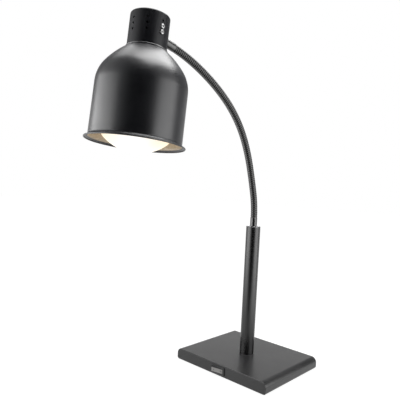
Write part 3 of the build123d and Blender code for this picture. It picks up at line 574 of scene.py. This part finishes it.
def makeRocker(kit):
    half = kit["half"]
    stations = [-half + 2 * half * i / kit["steps"] for i in range(kit["steps"] + 1)]
    plan = [(x, -rockerFace(kit, x)) for x in stations]
    plan += [(half, -kit["skirt"]), (kit["heel"], kit["heelDepth"]), (-kit["heel"], kit["heelDepth"]),
             (-half, -kit["skirt"])]
    place = rockerPlace(kit)
    points = []
    for z in (-kit["height"] / 2, kit["height"] / 2):
        points += [place @ (Vector((x, y, z)) * mm) for x, y in plan]
    count = len(plan)
    faces = [tuple(range(count - 1, -1, -1)), tuple(range(count, 2 * count))]
    faces += [(i + count, (i + 1) % count + count, (i + 1) % count, i) for i in range(count)]
    piece = linkMesh("rockerCap", points, faces, "rocker", "switch_bezel", finish["switch_bezel"])
    edge = piece.modifiers.new("softEdges", "BEVEL")
    edge.width = kit["edge"] * mm
    edge.segments = kit["edgeSteps"]
    edge.limit_method = "ANGLE"
    edge.angle_limit = radians(kit["edgeAngle"])
    smoothTo(piece, kit["capCrisp"])
    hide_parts("switch_rocker")


def makeLens(kit):
    # pale lens let into the black cap, following its dish; the wider black left above it and at its right end
    # is partly the dark bezel and partly painted shade of the recess round the rocker
    place = rockerPlace(kit)
    steps = kit["steps"]
    low = kit["lensLow"]
    high = kit["lensHigh"]
    points = []
    for i in range(steps + 1):
        x = kit["lensFrom"] + (kit["lensTo"] - kit["lensFrom"]) * i / steps
        back = -rockerFace(kit, x) + kit["lensRise"]
        front = -rockerFace(kit, x) - kit["lensRise"]
        for y, z in ((back, low), (front, low), (front, high), (back, high)):
            points.append(place @ (Vector((x, y, z)) * mm))
    faces = []
    for i in range(0, 4 * steps, 4):
        for k in range(4):
            n = (k + 1) % 4
            faces.append((i + n, i + n + 4, i + k + 4, i + k))
    faces.append((0, 1, 2, 3))
    faces.append(tuple(range(4 * steps + 3, 4 * steps - 1, -1)))
    piece = linkMesh("rockerLens", points, faces, "rocker", "switch_rocker", finish["switch_rocker"])
    smoothTo(piece, kit["lensCrisp"])


def makeMark(kit, name, outline, hole, x):
    # low raised mark on the lens, from an outline of (x, z) points around its own middle
    place = rockerPlace(kit)
    points = []
    for lift in (kit["markFrom"], kit["markTo"]):
        for u, v in outline + hole:
            points.append(place @ (Vector((x + u, -rockerFace(kit, x + u) - lift, v + kit["markUp"])) * mm))
    faces = []
    count = len(outline)
    layer = count + len(hole)
    for i in range(count):
        j = (i + 1) % count
        faces.append((i, j, j + layer, i + layer))
        if hole:
            faces.append((count + j, count + i, count + i + layer, count + j + layer))
            faces.append((layer + i, layer + j, layer + count + j, layer + count + i))
    if not hole:
        faces.append(tuple(range(layer, layer + count)))
    piece = linkMesh(name, points, faces, "rocker", "switch_rocker", markPaint)
    smoothTo(piece, kit["lensCrisp"])


def makeMarks(kit):
    side = kit["barSide"]
    up = kit["barUp"]
    bar = [(-side, -up), (side, -up), (side, up), (-side, up)]
    ring = arc((0.0, 0.0), kit["ring"], 0, 360, kit["ringSteps"])[:-1]
    hole = [(u * kit["ringHole"], v * kit["ringHole"]) for u, v in ring]
    makeMark(kit, "rockerBar", bar, [], -kit["markReach"])
    makeMark(kit, "rockerRing", ring, hole, kit["markReach"])


makeRocker(rocker)
makeLens(rocker)
makeMarks(rocker)
print("rocker made")


# camera, from the vanishing lines of the base and the post

shot = dict(
    place=(0.6022, -0.8288, 0.4107),
    yaw=0.7495,      # radians, turned left from looking along +Y
    pitch=0.0398,    # radians, looking down
    roll=0.0496,     # radians
    focal=449.9,     # in pixels of a 400 pixel picture
    picture=400.0,
    sensor=36.0,
    nearest=0.05,
    furthest=30.0,
)


def makeCamera(kit):
    yaw = kit["yaw"]
    pitch = kit["pitch"]
    forward = Vector((-sin(yaw) * cos(pitch), cos(yaw) * cos(pitch), -sin(pitch)))
    right = Vector((cos(yaw), sin(yaw), 0.0))
    up = right.cross(forward)
    rolledRight = cos(kit["roll"]) * right + sin(kit["roll"]) * up
    rolledUp = -sin(kit["roll"]) * right + cos(kit["roll"]) * up
    data = bpy.data.cameras.new("shotCamera")
    data.sensor_width = kit["sensor"]
    data.lens = kit["focal"] / kit["picture"] * kit["sensor"]
    data.clip_start = kit["nearest"]
    data.clip_end = kit["furthest"]
    camera = bpy.data.objects.new("shotCamera", data)
    turned = Matrix((rolledRight, rolledUp, -forward)).transposed().to_4x4()
    camera.matrix_world = Matrix.Translation(kit["place"]) @ turned
    bpy.context.scene.collection.objects.link(camera)
    bpy.context.scene.camera = camera


makeCamera(shot)


# floor, world and lamps

def seenRays(tree):
    # 1 where the ray comes from the camera, a reflection or clear glass
    path = tree.nodes.new("ShaderNodeLightPath")
    first = tree.nodes.new("ShaderNodeMath")
    first.operation = "MAXIMUM"
    both = tree.nodes.new("ShaderNodeMath")
    both.operation = "MAXIMUM"
    tree.links.new(path.outputs["Is Camera Ray"], first.inputs[0])
    tree.links.new(path.outputs["Is Glossy Ray"], first.inputs[1])
    tree.links.new(first.outputs[0], both.inputs[0])
    tree.links.new(path.outputs["Is Transmission Ray"], both.inputs[1])
    return both.outputs[0]


def background(tree, strength):
    air = tree.nodes.new("ShaderNodeBackground")
    air.inputs["Color"].default_value = (1.0, 1.0, 1.0, 1.0)
    air.inputs["Strength"].default_value = strength
    return air.outputs[0]


def emission(tree, strength):
    light = tree.nodes.new("ShaderNodeEmission")
    light.inputs["Color"].default_value = (1.0, 1.0, 1.0, 1.0)
    light.inputs["Strength"].default_value = strength
    return light


def mixBy(tree, factor, first, second):
    pick = tree.nodes.new("ShaderNodeMixShader")
    tree.links.new(factor, pick.inputs["Fac"])
    tree.links.new(first, pick.inputs[1])
    tree.links.new(second, pick.inputs[2])
    return pick.outputs[0]


def makeWorld(kit):
    # white where it is seen, a dim room above the backdrop in reflections, soft fill for the rest
    world = bpy.data.worlds.new("studioAir")
    bpy.context.scene.world = world
    world.use_nodes = True
    tree = world.node_tree
    tree.nodes.clear()
    out = tree.nodes.new("ShaderNodeOutputWorld")
    path = tree.nodes.new("ShaderNodeLightPath")
    seen = mixBy(tree, seenRays(tree), background(tree, kit["fill"]), background(tree, 1.0))
    air = mixBy(tree, path.outputs["Is Glossy Ray"], seen, background(tree, kit["room"]))
    tree.links.new(air, out.inputs["Surface"])


def emptyMaterial(name):
    made = bpy.data.materials.new(name)
    made.use_nodes = True
    tree = made.node_tree
    tree.nodes.clear()
    return made, tree, tree.nodes.new("ShaderNodeOutputMaterial")


def makeBoard(name, width, height, paint):
    # flat rectangle about its own middle, facing up its Z axis
    mesh = bpy.data.meshes.new(name)
    x = width / 2
    y = height / 2
    mesh.from_pydata([(-x, -y, 0.0), (x, -y, 0.0), (x, y, 0.0), (-x, y, 0.0)], [], [(0, 1, 2, 3)])
    mesh.materials.append(paint)
    board = bpy.data.objects.new(name, mesh)
    bpy.context.scene.collection.objects.link(board)
    return board


def makeFloor(kit):
    # matte paper that takes the shadow, lifted to white where it is seen
    paper, tree, out = emptyMaterial("floorPaper")
    matte = tree.nodes.new("ShaderNodeBsdfDiffuse")
    matte.inputs["Color"].default_value = (kit["paper"], kit["paper"], kit["paper"], 1.0)
    dark = emission(tree, 0.0)
    bright = emission(tree, kit["paperLift"])
    lift = mixBy(tree, seenRays(tree), dark.outputs[0], bright.outputs[0])
    both = tree.nodes.new("ShaderNodeAddShader")
    tree.links.new(lift, both.inputs[0])
    tree.links.new(matte.outputs[0], both.inputs[1])
    tree.links.new(both.outputs[0], out.inputs["Surface"])
    floor = makeBoard("studioFloor", kit["floorSize"], kit["floorSize"], paper)


def aimed(place, target):
    aim = Vector(target) - Vector(place)
    return Matrix.Translation(place) @ aim.to_track_quat("-Z", "Y").to_matrix().to_4x4()


def makeSoftbox(name, kit):
    # lights the object softly; the cards give its mirror image
    data = bpy.data.lights.new(name, "AREA")
    data.shape = "RECTANGLE"
    data.size = kit["width"]
    data.size_y = kit["height"]
    data.energy = kit["radiance"] * pi * kit["width"] * kit["height"]
    lamp = bpy.data.objects.new(name, data)
    lamp.matrix_world = aimed(kit["place"], kit["target"])
    lamp.visible_camera = False
    lamp.visible_glossy = False
    bpy.context.scene.collection.objects.link(lamp)


def makeCard(name, kit):
    # bright or black card beside the object, seen only as a reflection in its paint
    face, tree, out = emptyMaterial(name)
    face.cycles.emission_sampling = "NONE"
    light = emission(tree, kit["strength"])
    if "fade" in kit:
        where = tree.nodes.new("ShaderNodeTexCoord")
        split = tree.nodes.new("ShaderNodeSeparateXYZ")
        tree.links.new(where.outputs["Object"], split.inputs["Vector"])
        low, high, share = kit["fade"]
        faded = spread(tree, split.outputs["Y"], kit["strength"], kit["strength"] * share, low, high)
        tree.links.new(faded, light.inputs["Strength"])
    tree.links.new(light.outputs[0], out.inputs["Surface"])
    card = makeBoard(name, kit["width"], kit["height"], face)
    card.matrix_world = aimed(kit["place"], kit["target"])
    card.visible_camera = False
    card.visible_diffuse = False
    card.visible_transmission = False
    card.visible_volume_scatter = False
    card.visible_shadow = False


studio = dict(
    fill=0.40, room=0.30,                # the air's strength on the object and in reflections
    floorSize=14.0,
    paper=0.30, paperLift=0.90,          # the paper's own shade, and what is added where it is seen
)
softboxes = dict(
    leftSoftbox=dict(place=(-0.75, -1.35, 0.75), target=(0.0, -0.25, 0.40),
                     width=0.7, height=1.0, radiance=2.2),
    rightSoftbox=dict(place=(1.20, 0.35, 0.75), target=(0.0, -0.20, 0.40),
                      width=0.7, height=1.0, radiance=2.2),
    topSoftbox=dict(place=(0.10, -0.10, 1.70), target=(0.0, -0.20, 0.30),
                    width=0.9, height=0.9, radiance=2.6),
)
cards = dict(      # fade: from and to these heights above the card's middle, down to this share
    leftCard=dict(place=(-0.66, -1.10, 0.80), target=(0.0, -0.35, 0.80),
                  width=1.40, height=2.00, strength=5.4, fade=(0.04, 0.22, 0.17)),
    rightCard=dict(place=(0.90, 0.12, 0.80), target=(0.06, -0.32, 0.80),
                   width=0.94, height=2.00, strength=4.5, fade=(0.02, 0.20, 0.22)),
    topCard=dict(place=(0.235, 0.11, 1.62), target=(0.235, 0.1101, 0.60),
                 width=0.77, height=1.28, strength=9.5),
    topSideCard=dict(place=(-0.54, 0.15, 1.62), target=(-0.54, 0.1501, 0.60),
                     width=0.78, height=1.40, strength=3.6),
    blackCard=dict(place=(0.42, -0.65, 0.45), target=(0.05, -0.39, 0.45),
                   width=0.76, height=1.30, strength=0.0),
    backCard=dict(place=(-0.98, 1.08, 0.46), target=(0.0, 0.0, 0.46),
                  width=3.6, height=0.96, strength=0.88),
    leftFloor=dict(place=(-0.55, -0.80, 0.002), target=(-0.55, -0.7999, 1.0),
                   width=0.9, height=0.7, strength=2.2),
    rightFloor=dict(place=(0.75, 0.10, 0.002), target=(0.75, 0.1001, 1.0),
                    width=0.8, height=0.9, strength=2.4),
    blackFloor=dict(place=(0.55, -0.75, 0.003), target=(0.55, -0.7499, 1.0),
                    width=0.8, height=0.7, strength=0.0),
)
makeWorld(studio)
makeFloor(studio)
for name, kit in softboxes.items():
    makeSoftbox(name, kit)
for name, kit in cards.items():
    makeCard(name, kit)
print("camera and studio made")


bpy.context.scene.view_settings.view_transform = "Standard"
